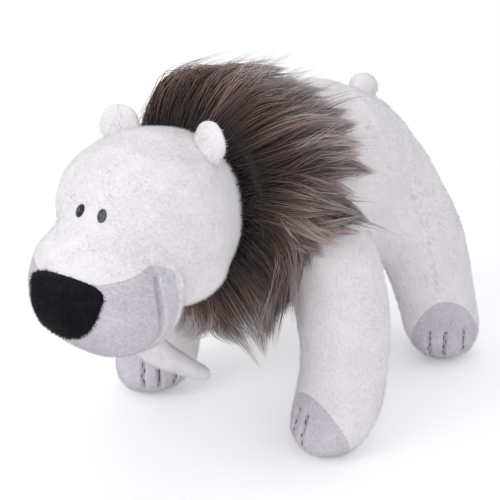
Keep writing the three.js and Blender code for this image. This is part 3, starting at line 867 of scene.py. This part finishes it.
body_tree = tree_of(body, body_faces)
for end, side in leg_forms:
    sewn = np.array([nearest_on(body_tree, line[1:-1]) for key, line in toe_lines.items() if key[:2] == (end, side)])
    made = grown(THREAD_TREE, wire("toe_lines", sewn), f"{end}_toe_stitches_{side}", Thread=TOE_THREAD)
    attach(made, "torso")

# ---------------------------------------------------------------- head: skull cover, muzzle and jaw panels

head_forms = [loft(form) for form in (SKULL, CHEEKS, MUZZLE)]
head, head_faces = fused(head_forms, HEAD_VOXEL)
head = stuffed(head, head_faces, head_forms, join=9, rounds=50, even=0.4, even_rounds=3,
               most=1.5, ripples=HEAD_RIPPLES)
for sign in SIDES.values():
    head_tree = tree_of(head, head_faces)
    crease, roll = (laid_on(head_tree, np.array(line) * (sign, 1, 1)) for line in (MOUTH_CREASE, MOUTH_ROLL))
    head, head_faces = refined(head, head_faces, [crease, roll], 6)
    head_normals = normals_of(head, head_faces)
    head = pressed(head, head_normals, crease, **CREASE_PRESS)
    head = pressed(head, head_normals, roll + (0, 1.5, 0), **ROLL_PRESS)

head, head_faces = parted(head, head_faces, (
    (lambda c: c.z < MOUTH_Z + CREASE_ABOVE, (0, CREASE_Y, 0), (0, 1, 0)),
    (lambda c: c.y < CREASE_Y, (0, CREASE_Y, MOUTH_Z), (0, -LIP_RISE, 1)),
    (lambda c: c.y > CREASE_Y, (0, CREASE_Y, MOUTH_Z), (0, JAW_FALL, 1)),
    (lambda c: c.y > CREASE_Y and c.z < MOUTH_Z, (0, CREASE_Y + JAW_DEEP, 0), (0, 1, 0))))
_, y, z = middles_of(head, head_faces).T
below_lip = z < MOUTH_Z + LIP_RISE * (y - CREASE_Y)
below_jaw = (z < MOUTH_Z - JAW_FALL * (y - CREASE_Y)) & (y < CREASE_Y + JAW_DEEP)
face_part = np.where(y < CREASE_Y, np.where(below_lip, "muzzle", "head"), np.where(below_jaw, "jaw", "head"))
# the jaw's cover is white plush painted pale grey: painted shade under the corner of the mouth
head_covers = [("head", "head_cover", "white_plush", ["head_skin", "head_filling"]),
               ("muzzle", "muzzle_cover", "grey_plush", ["muzzle_panel"]),
               ("jaw", "jaw_cover", "pale_grey_plush", ["jaw_panel"])]
covers("head", head, normals_of(head, head_faces), head_faces, face_part, head_covers,
       density=1.1, length=1.6, width=0.09, brushed=(0, 0.8, -0.5))
head_tree = tree_of(head, head_faces)

# ---------------------------------------------------------------- nose patch and eyes

NOSE = dict(wide=48.0, top=152.0, foot=119.0, side=142.5, proud=1.5, crown=2.2, edge=0.6, around=120, rings=26)


def nose_outline(share):
    """Point (x, z) of the nose's edge at each share of the way round, from the middle of the top."""
    half = NOSE["wide"] / 2
    corners = [((0, NOSE["top"]), (half * 1.04, NOSE["top"] - 1), (half, NOSE["side"])),
               ((half, NOSE["side"]), (half * 0.86, NOSE["foot"]), (0, NOSE["foot"]))]
    share = np.asarray(share) % 1.0
    mirrored = share > 0.5
    run = np.where(mirrored, 1 - share, share) * 4
    out = np.zeros((len(share), 2))
    for k, (a, b, c) in enumerate(corners):
        here = (run >= k) & ((run < k + 1) | (k == 1))
        t = (run[here] - k)[:, None]
        out[here] = (1 - t) ** 2 * np.array(a) + 2 * t * (1 - t) * np.array(b) + t ** 2 * np.array(c)
    out[mirrored, 0] *= -1
    return out


def nose():
    """Pillowed nose patch laid on the muzzle's front: (points, faces)."""
    around, rings = NOSE["around"], NOSE["rings"]
    edge = nose_outline(np.arange(around) / around)
    middle = np.array([0, (NOSE["top"] + NOSE["foot"]) / 2 + 1.5])
    share = np.repeat(np.arange(1, rings + 1) / rings, around)
    spots = middle + np.tile(edge - middle, (rings, 1)) * share[:, None]
    skin, normal = map(np.array, zip(*[upon(head_tree, (x, AHEAD, z), BACKWARD) for x, z in spots]))
    puff = NOSE["proud"] * np.clip((1 - share) * 9, 0, 1) ** 0.5 + NOSE["crown"] * (1 - share ** 2)
    puff = puff - NOSE["edge"] * (share > 0.99)
    tip, tip_normal = upon(head_tree, (middle[0], AHEAD, middle[1]), BACKWARD)
    points = np.vstack([skin + normal * puff[:, None], skin - normal * CLOTH,
                        tip + tip_normal * (NOSE["proud"] + NOSE["crown"]), tip - tip_normal * CLOTH])
    count, last = around * rings, (rings - 1) * around
    faces = []
    for k in range(rings - 1):
        here, there = k * around, (k + 1) * around
        faces += band(around, here, there) + band(around, there + count, here + count)
    faces += fan(around, 2 * count, 0) + fan(around, 2 * count + 1, count, last=True)
    faces += band(around, last, last + count)
    return points, outward(points, faces)


padded_piece("nose_cover", *nose(), "black_plush", "head", ["nose_patch"], 0.7, density=1.8, length=2.2, width=0.24)

EYE = dict(apart=14.5, z=177.5, wide=4.9, high=7.4, dome=2.1, sunk=1.2, around=48, rings=12)


def eye(side):
    """Oval eye with a rounded rim and a low dome, seated where the moulded eye is."""
    sign = SIDES[side]
    centre, normal = upon(head_tree, (sign * EYE["apart"] / 2, AHEAD, EYE["z"]), BACKWARD)
    across = unit(np.cross((0, 0, 1), normal))
    rise = np.cross(normal, across)
    around = EYE["around"]
    profile = [(math.sin(t), EYE["dome"] * math.cos(t) ** 0.8) for t in np.linspace(0.08, math.pi / 2, EYE["rings"])]
    profile += [(1.0, -EYE["sunk"] * 0.6), (0.9, -EYE["sunk"])]
    points, pale = [], []
    for reach, lift in profile:
        for turn in np.linspace(0, 2 * math.pi, around, endpoint=False):
            flat = np.array([math.cos(turn) * EYE["wide"] / 2, math.sin(turn) * EYE["high"] / 2]) * reach
            points.append(centre + across * flat[0] + rise * flat[1] + normal * lift)
            pale.append(0.5 + 0.45 * (flat[0] * sign / EYE["wide"] * 2 - 0.35 * flat[1] / EYE["high"] * 2))
    points = np.array(points + [centre + normal * EYE["dome"], centre - normal * EYE["sunk"]])
    made = piece(f"eye_dome_{side}", points, outward(points, tube(around, len(profile))), EYE_GLOSS)
    made.data.attributes.new("pale", "FLOAT", "POINT").data.foreach_set("value", pale + [0.5, 0.0])
    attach(made, "head")
    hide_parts(f"eye_{side}")


for side in SIDES:
    eye(side)
    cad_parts[f"eye_washer_{side}"].data.materials[0] = WASHER_PLASTIC

# ---------------------------------------------------------------- ears, tail, beard and neck

EAR = dict(apart=57.0, back=6.0, wide=24.5, high=25.5, thick=10.0, lean=23.0, turn=14.0, sunk=2.5, hollow=1.6)
for side, sign in SIDES.items():
    lean = math.radians(EAR["lean"])
    up = np.array([sign * math.sin(lean), 0, math.cos(lean)])
    place, _ = upon(head_tree, (sign * EAR["apart"] / 2, NECK.y - EAR["back"], ABOVE), DOWN)
    base = place - up * (EAR["thick"] / 2 + EAR["sunk"])
    form = dict(spine=[base + up * share * EAR["high"] for share in (0, 0.35, 0.7, 1)],
                wide=[share * EAR["wide"] / 2 for share in (0.6, 0.9, 1.02, 0.86)],
                high=[share * EAR["thick"] / 2 for share in (0.95, 1, 0.85, 0.6)],
                ends=(3, EAR["high"] / 2), blunt=2.0)
    points, faces = loft(form, facing=up, around=72, step=1.0)
    spin = np.array(Matrix.Rotation(math.radians(EAR["turn"]) * -sign, 3, Vector(up)))
    points = base + (points - base) @ spin.T
    flat, height = (points - base) @ spin, (points - base) @ up
    hollow = EAR["hollow"] * (flat @ (0, 1, 0) < 0) * bell(height - EAR["high"] * 0.55, 9) * bell(flat[:, 0], 8)
    points = points + np.outer(hollow, spin @ (0, 1, 0))
    padded_piece(f"ear_pad_{side}", points, faces, "white_plush", f"ear_{side}", [f"ear_{side}"], 0.7,
                 density=0.9, length=1.7)

# the tail is found by a ray from behind, then stands out from the rump its own way
TAIL = dict(thick=19.5, long=27.0, rise=44.0, y=99.5, z=140, away=200, way=(0, 0.563, 0.827))
back, up = math.cos(math.radians(TAIL["rise"])), math.sin(math.radians(TAIL["rise"]))
behind = (0, TAIL["y"] + TAIL["away"] * back, TAIL["z"] + TAIL["away"] * up)
place, _ = upon(tree_of(*torso_form), behind, (0, -back, -up))
spine = [place + np.array(TAIL["way"]) * share * TAIL["long"] for share in (-0.25, 0.1, 0.5, 0.75)]
thick = [share * TAIL["thick"] for share in (0.36, 0.44, 0.52, 0.48)]
points, faces = loft(dict(spine=spine, wide=thick, high=thick, ends=(3, TAIL["thick"] / 2), blunt=2.0),
                     around=64, step=1.0)
padded_piece("tail_pad", points, faces, "white_plush", "tail", ["tail"], 0.8, density=0.9, length=1.9)

# the beard hangs from the chin by shares of how far it goes left, back and down
BEARD = dict(y=-117.5, wide=23.0, thick=17.0, left=10.0, back=55.0, drop=50.0)
chin, _ = upon(head_tree, (0, BEARD["y"], 20), (0, 0, 1))
hung = [chin + (BEARD["left"] * left, BEARD["back"] * back, -BEARD["drop"] * down)
        for left, back, down in ((0, 0, -0.17), (0.3, 0.27, 0.36), (0.66, 0.63, 0.7), (1, 1, 1))]
points, faces = loft(dict(spine=hung, wide=[share * BEARD["wide"] for share in (0.5, 0.46, 0.36, 0.24)],
                          high=[share * BEARD["thick"] for share in (0.55, 0.48, 0.36, 0.24)],
                          ends=(5, 5), blunt=2.2), around=72, step=1.0)
padded_piece("beard_pad", points, faces, "white_plush", "chin_beard", ["chin_beard"], 0.6, density=0.9, length=1.5)


def neck_wad():
    """The wadding in the neck, a soft plug between the stuffed body and the stuffed head."""
    low, high = (np.array(corner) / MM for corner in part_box("neck_filling"))
    middle, half = (low + high) / 2, (high - low) / 2
    points, faces = loft(dict(
        spine=[(middle[0], middle[1] + share * half[1], middle[2]) for share in (1, 0.35, -0.35, -1)],
        wide=[half[0] * share for share in (0.9, 0.97, 0.97, 0.9)],
        high=[half[2] * share for share in (0.9, 0.97, 0.97, 0.9)],
        ends=(half[1] * 0.6, half[1] * 0.6), blunt=2.2), facing=(0, -1, 0), around=72, step=2.0)
    return points + normals_of(points, faces) * (0.4 * ripple(points, 14, 9) - 0.4)[:, None], faces


soft_piece(piece("neck_wad", *neck_wad(), wadding()), "neck", ["neck_filling"])

# ---------------------------------------------------------------- mane

# locks: rows on the band, locks to a row, points after the root, clumps that they gather in, hairs of each
LOCK_ROWS, LOCKS_ROUND, LOCK_STEPS, CLUMPS, LOCK_HAIRS = 8, 64, 14, 170, 51
LOCK_SEED, WISP_SEED = 11, 23

# how far off the neck's axis the locks are rooted on the first row and how much further on the last,
# how much shorter the last row is, how uneven the locks are, and how much lower the last row lies
ROOT_RADIUS, BAND_RISE = 42, 7
FIRST_LONG, LAST_SHORTER, LONG_UNEVEN = 1.3, 0.4, (0.74, 1.12)
ROOT_SCATTER, STRAY, LAYERED, LAYER_SCATTER, TONE_SCATTER = 0.35, 0.06, 0.85, 0.12, 0.16

# rounds in which a lock's line is smoothed, and how far its tip is drawn to its clump's
LOCK_ROUNDS, CLUMP_PULL = 5, 0.72

# stray locks: how many, how far round from straight up, how far they are lifted, how uneven and how pale they are
WISPS, WISP_TURN, WISP_LIFT, WISP_STRAY, WISP_FROST = 240, 125, (3, 11), 5, 0.45

# underfur, a near-black layer of painted shade under the locks: how far inside the fur's front edge it starts, how
# much wider than the band it is, and how deep it is sunk
CORE_FRONT, CORE_WIDER, CORE_SUNK = 8, 19, 1.5

# the neck's own radius; the crest thins out from here along Y over this run, to this share at least
NECK_RADIUS = 49
CREST_FROM, CREST_RUN, CREST_LEAST = -40, 118, 0.08

# round the neck, in degrees from straight up: where the fur's front edge is sewn on, how far back the sewn band
# reaches, how steeply its hair falls (0 straight back, 90 straight down), how long it is, how deep the fur is at
# its crest, how upright it stands at the root and how pale its tips are, the lower fringe's own pale tips and, over
# the top, a painted highlight
ROOT = ((0, -68.5), (28, -67), (45, -63), (110, -62), (145, -68), (180, -72))
BAND = ((0, 50), (40, 46), (75, 34), (100, 24), (130, 24), (160, 38), (180, 42))
FALL = ((0, 0), (40, 8), (75, 17), (88, 28), (100, 38), (130, 47), (150, 64), (165, 82), (180, 92))
LENGTH = ((0, 82), (60, 79), (88, 82), (100, 78), (112, 63), (125, 50), (140, 52), (160, 74), (180, 82))
DEPTH = ((0, 36), (40, 31), (70, 24), (100, 23), (140, 23), (180, 20))
UPRIGHT = ((0, 1.0), (26, 0.9), (45, 0.2), (115, 0.15), (150, 0.5), (180, 0.6))
# paler tips: the lower fringe's own pale tips, and over the top a painted highlight where the light falls from above
FROST = ((0, 0.35), (60, 0.25), (95, 0.12), (112, 0.2), (125, 0.5), (145, 1.0), (180, 1.0))


def by_turn(table, turn):
    """A value of the mane at a turn from straight up, read from its table."""
    degrees, values = zip(*table)
    return np.interp(np.degrees(np.abs(turn)), degrees, values)


def round_neck(turn, radius, y):
    """Point at a turn from straight up towards the left, a radius and a place along the neck."""
    x, z = radius * np.sin(turn), NECK.z + radius * np.cos(turn)
    return np.stack([x, np.broadcast_to(y, np.shape(turn)), z], axis=-1)


def off_body(points):
    """Height of each point over the body or the neck, and the way straight out from it."""
    heights, ways = np.empty(len(points)), np.empty((len(points), 3))
    for k, point in enumerate(points.tolist()):
        point = Vector(point)
        place, normal, _, gap = body_tree.find_nearest(point)
        height = gap if (point - place).dot(normal) > 0 else -gap
        from_neck = point - NECK
        if from_neck.length - NECK_RADIUS < height:
            height, normal = from_neck.length - NECK_RADIUS, from_neck.normalized()
        heights[k], ways[k] = height, normal
    return heights, ways


def turn_of(points):
    return np.arctan2(points[:, 0], points[:, 2] - NECK.z)


def lock_guides():
    """Middle lines of the fur locks, combed from root to tip: (lines, root turns, tones, frost)."""
    rng = np.random.default_rng(LOCK_SEED)
    row, place = np.meshgrid(np.arange(LOCK_ROWS), np.arange(LOCKS_ROUND), indexing="ij")
    row, place = row.ravel(), place.ravel()
    count = len(row)
    share = row / (LOCK_ROWS - 1)
    scatter = rng.uniform(-ROOT_SCATTER, ROOT_SCATTER, count)
    root_turn = 2 * math.pi * (place + (row % 2) / 2 + scatter) / LOCKS_ROUND - math.pi
    root_y = by_turn(ROOT, root_turn) + 1 + share * by_turn(BAND, root_turn)
    at = round_neck(root_turn, ROOT_RADIUS + BAND_RISE * share, root_y)
    upright = by_turn(UPRIGHT, root_turn)[:, None]
    length = by_turn(LENGTH, root_turn) * (FIRST_LONG - LAST_SHORTER * share) * rng.uniform(*LONG_UNEVEN, count)
    stray = rng.normal(0, STRAY, (count, 3))
    layer = 1 - LAYERED * share + rng.uniform(-LAYER_SCATTER, LAYER_SCATTER, count)
    path = [at]
    for step in range(LOCK_STEPS):
        t = step / LOCK_STEPS
        turn = turn_of(at)
        fall = np.radians(by_turn(FALL, turn))
        combed = np.stack([np.zeros(count), np.cos(fall), -np.sin(fall)], axis=-1)
        radial = np.stack([np.sin(turn), np.full(count, 0.3), np.cos(turn)], axis=-1)
        bent = 1 - upright * (1 - smooth(t / (0.42 - 0.2 * share))[:, None])
        at = at + unit(unit(radial) * (1 - bent) + combed * bent + stray) * (length / LOCK_STEPS)[:, None]
        height, out = off_body(at)
        crest = by_turn(DEPTH, turn) * np.clip(1 - (at[:, 1] - CREST_FROM) / CREST_RUN, CREST_LEAST, 1)
        wanted = 1.5 + np.clip(layer, 0.05, 1) * crest * smooth(t * 2.6 + 0.1)
        lift = np.where(height < wanted, wanted - height, 0.3 * bent[:, 0] * (wanted - height))
        at = at + out * (lift * min(1, 0.25 + 2 * t))[:, None]
        path.append(at)
    path = np.stack(path, axis=1)
    for _ in range(LOCK_ROUNDS):
        path[:, 1:-1] = (path[:, :-2] + 2 * path[:, 1:-1] + path[:, 2:]) / 4
    masters = rng.choice(count, CLUMPS, replace=False)
    far = np.linalg.norm(path[:, None, -1] - path[None, masters, -1], axis=2)
    owner = masters[far.argmin(axis=1)]
    pull = CLUMP_PULL * smooth((np.linspace(0, 1, LOCK_STEPS + 1) - 0.3) / 0.7)
    path = path + (path[owner] - path) * pull[None, :, None]
    own_tone, clump_tone = rng.normal(0, TONE_SCATTER, count), rng.normal(0, TONE_SCATTER, count)
    tone = np.clip(0.5 + own_tone + 0.5 * clump_tone[owner], 0, 1)
    frost = by_turn(FROST, root_turn) * rng.uniform(0.6, 1.0, count)
    return path, root_turn, tone, frost


def of_mane(made):
    """Says that a piece is part of the mane, which stays with the torso."""
    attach(made, "torso")
    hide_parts("mane")


def grown_fur(name, lines, tones, frost, settings):
    """One piece of fur from its guide lines, made by the hair tree and kept as a plain mesh."""
    source = wire(name + "_guides", lines)
    for label, values in (("tone", tones), ("frost", frost)):
        stored = source.data.attributes.new(label, "FLOAT", "POINT")
        stored.data.foreach_set("value", np.repeat(values, lines.shape[1]))
    of_mane(grown(HAIR_TREE, source, name, Fur=MANE_FUR, **settings))


# the mane's pieces by their roots' turns in degrees, the left side positive
SECTORS = {
    "mane_top": (-30, 30), "mane_upper_left": (30, 72), "mane_side_left": (72, 118), "mane_below_left": (118, 181),
    "mane_upper_right": (-72, -30), "mane_side_right": (-118, -72), "mane_below_right": (-181, -118)}
lines, root_turn, tones, frost = lock_guides()
root_degrees = np.degrees(root_turn)
for name, (first, last) in SECTORS.items():
    mine = (root_degrees >= first) & (root_degrees < last)
    grown_fur(name, lines[mine], tones[mine], frost[mine], {"Hairs": LOCK_HAIRS, "Seed": len(name)})


def wisps():
    """Single stray locks that stand off the mane's outline, taken from the guides and lifted towards their tips."""
    rng = np.random.default_rng(WISP_SEED)
    chosen = rng.choice(np.flatnonzero(np.abs(root_degrees) < WISP_TURN), WISPS, replace=False)
    paths = lines[chosen].copy()
    rise = smooth(np.linspace(0, 1, LOCK_STEPS + 1))[None, :, None]
    out = np.stack([off_body(path)[1] for path in paths])
    paths += (out * rng.uniform(*WISP_LIFT, (WISPS, 1, 1)) + rng.normal(0, WISP_STRAY, (WISPS, 1, 3))) * rise
    return paths, tones[chosen], np.full(WISPS, WISP_FROST)


grown_fur("mane_wisps", *wisps(), {
    "Hairs": 9, "Root Spread": 0.004, "Tip Spread": 0.0008, "Hair Radius": 0.0002, "Seed": 3})


def mane_core(around=144, steps=20):
    """Underfur that the locks lie on, near black as painted shade deep in the mane: a collar round the neck that
    thins out over the body.
    """
    turn = np.linspace(-math.pi, math.pi, around, endpoint=False)
    full = by_turn(DEPTH, turn) * (0.5 - 0.3 * bell(np.abs(turn) - 1.4, 0.7))
    outer, inner = [], []
    for k in range(steps):
        share = k / (steps - 1)
        y = by_turn(ROOT, turn) + CORE_FRONT + share * (by_turn(BAND, turn) + CORE_WIDER)
        at = round_neck(turn, np.full(around, 60.0), y)
        for _ in range(3):
            height, out = off_body(at)
            at = at - out * height[:, None]
        thick = 1.0 + full * math.sin(math.pi * min(1, 0.12 + share * 0.88)) ** 0.7
        outer.append(at + out * thick[:, None])
        inner.append(at - out * CORE_SUNK)
    points = np.vstack(outer + inner[::-1])
    total = 2 * steps
    faces = [f for k in range(total) for f in band(around, k * around, (k + 1) % total * around)]
    return points, outward(points, faces)


# the underfur has none of the hairs' shades, so it shows near black: painted shade deep in the mane
of_mane(piece("mane_underfur_painted_shade", *mane_core(), MANE_FUR))

# ---------------------------------------------------------------- stage, light and camera

# place in metres, size and power of each lamp, all aimed at this point
LAMPS = {"key_lamp": ((-0.6, -1.2, 0.95), 0.9, 6.5), "top_lamp": ((-0.1, 0.2, 1.7), 1.0, 2),
         "fill_lamp": ((1.05, -0.9, 0.45), 0.9, 2.2)}
LAMP_AIM = Vector((0, 0, 0.1))
WORLD_STRENGTH, WORLD_COLOUR = 0.74, (0.97, 0.96, 1.0, 1)

# floor: half its side and its height in millimetres, how much light is added near the toy, and the metres from
# the middle between which it fades to plain white
FLOOR_HALF, FLOOR_Z = 3000, -0.3
FLOOR_LIFT, FADE_FROM, FADE_TO = 0.22, 0.3, 0.65

LENS, SENSOR = 77.98, 36
CAMERA_PLACE, CAMERA_AIM = (356.8, -529.9, 363.2), (-58.1, 87.45, 68.7)


def seen_directly(tree):
    """1 for what the camera or a mirror looks at, else 0."""
    rays = node(tree, "ShaderNodeLightPath").outputs
    return node(tree, "ShaderNodeMath", {0: rays["Is Camera Ray"], 1: rays["Is Glossy Ray"]}, operation="MAXIMUM")


def white_floor():
    """Matt white floor that keeps the shadow near the toy and fades to plain white further out."""
    material = bpy.data.materials.new("studio_floor")
    material.use_nodes = True
    tree = material.node_tree
    tree.nodes.clear()
    place = node(tree, "ShaderNodeTexCoord").outputs["Object"]
    reach = node(tree, "ShaderNodeVectorMath", {0: place}, operation="LENGTH").outputs["Value"]
    fade = node(tree, "ShaderNodeMapRange", {"From Min": FADE_FROM, "From Max": FADE_TO, "Value": reach},
                interpolation_type="SMOOTHSTEP")
    either = seen_directly(tree)
    lift = node(tree, "ShaderNodeMath", {0: either, 1: FLOOR_LIFT}, operation="MULTIPLY")
    matt = node(tree, "ShaderNodeBsdfDiffuse", {"Color": (0.95, 0.95, 0.95, 1)})
    near = node(tree, "ShaderNodeAddShader", {0: matt, 1: node(tree, "ShaderNodeEmission", {"Strength": lift})})
    share = node(tree, "ShaderNodeMath", {0: fade, 1: either}, operation="MULTIPLY")
    mix = node(tree, "ShaderNodeMixShader", {"Fac": share, 1: near, 2: node(tree, "ShaderNodeEmission")})
    node(tree, "ShaderNodeOutputMaterial", {"Surface": mix})
    return material


corners = [(FLOOR_HALF * x, FLOOR_HALF * y, FLOOR_Z) for x, y in ((-1, -1), (1, -1), (1, 1), (-1, 1))]
floor = piece("studio_floor", corners, [(0, 1, 2, 3)], white_floor(), rounded=False)

world = bpy.data.worlds.new("studio")
bpy.context.scene.world = world
world.use_nodes = True
sky = world.node_tree
backdrop = sky.nodes["Background"]
feed(sky, backdrop, {"Strength": WORLD_STRENGTH, "Color": WORLD_COLOUR})
plain_white = node(sky, "ShaderNodeBackground", {"Color": (1, 1, 1, 1)})
choice = node(sky, "ShaderNodeMixShader", {"Fac": seen_directly(sky), 1: backdrop, 2: plain_white})
feed(sky, sky.nodes["World Output"], {"Surface": choice})

for name, (place, size, power) in LAMPS.items():
    light = bpy.data.lights.new(name, "AREA")
    light.shape = "DISK"
    light.size = size
    light.energy = power
    lamp = placed(name, light)
    lamp.location = place
    lamp.rotation_euler = (LAMP_AIM - Vector(place)).to_track_quat("-Z", "Y").to_euler()

camera = placed("photo_camera", bpy.data.cameras.new("photo_camera"))
camera.data.lens = LENS
camera.data.sensor_width = SENSOR
camera.location = Vector(CAMERA_PLACE) * MM
camera.rotation_euler = (Vector(CAMERA_AIM) * MM - camera.location).to_track_quat("-Z", "Y").to_euler()
bpy.context.scene.camera = camera
bpy.context.scene.view_settings.view_transform = "Standard"
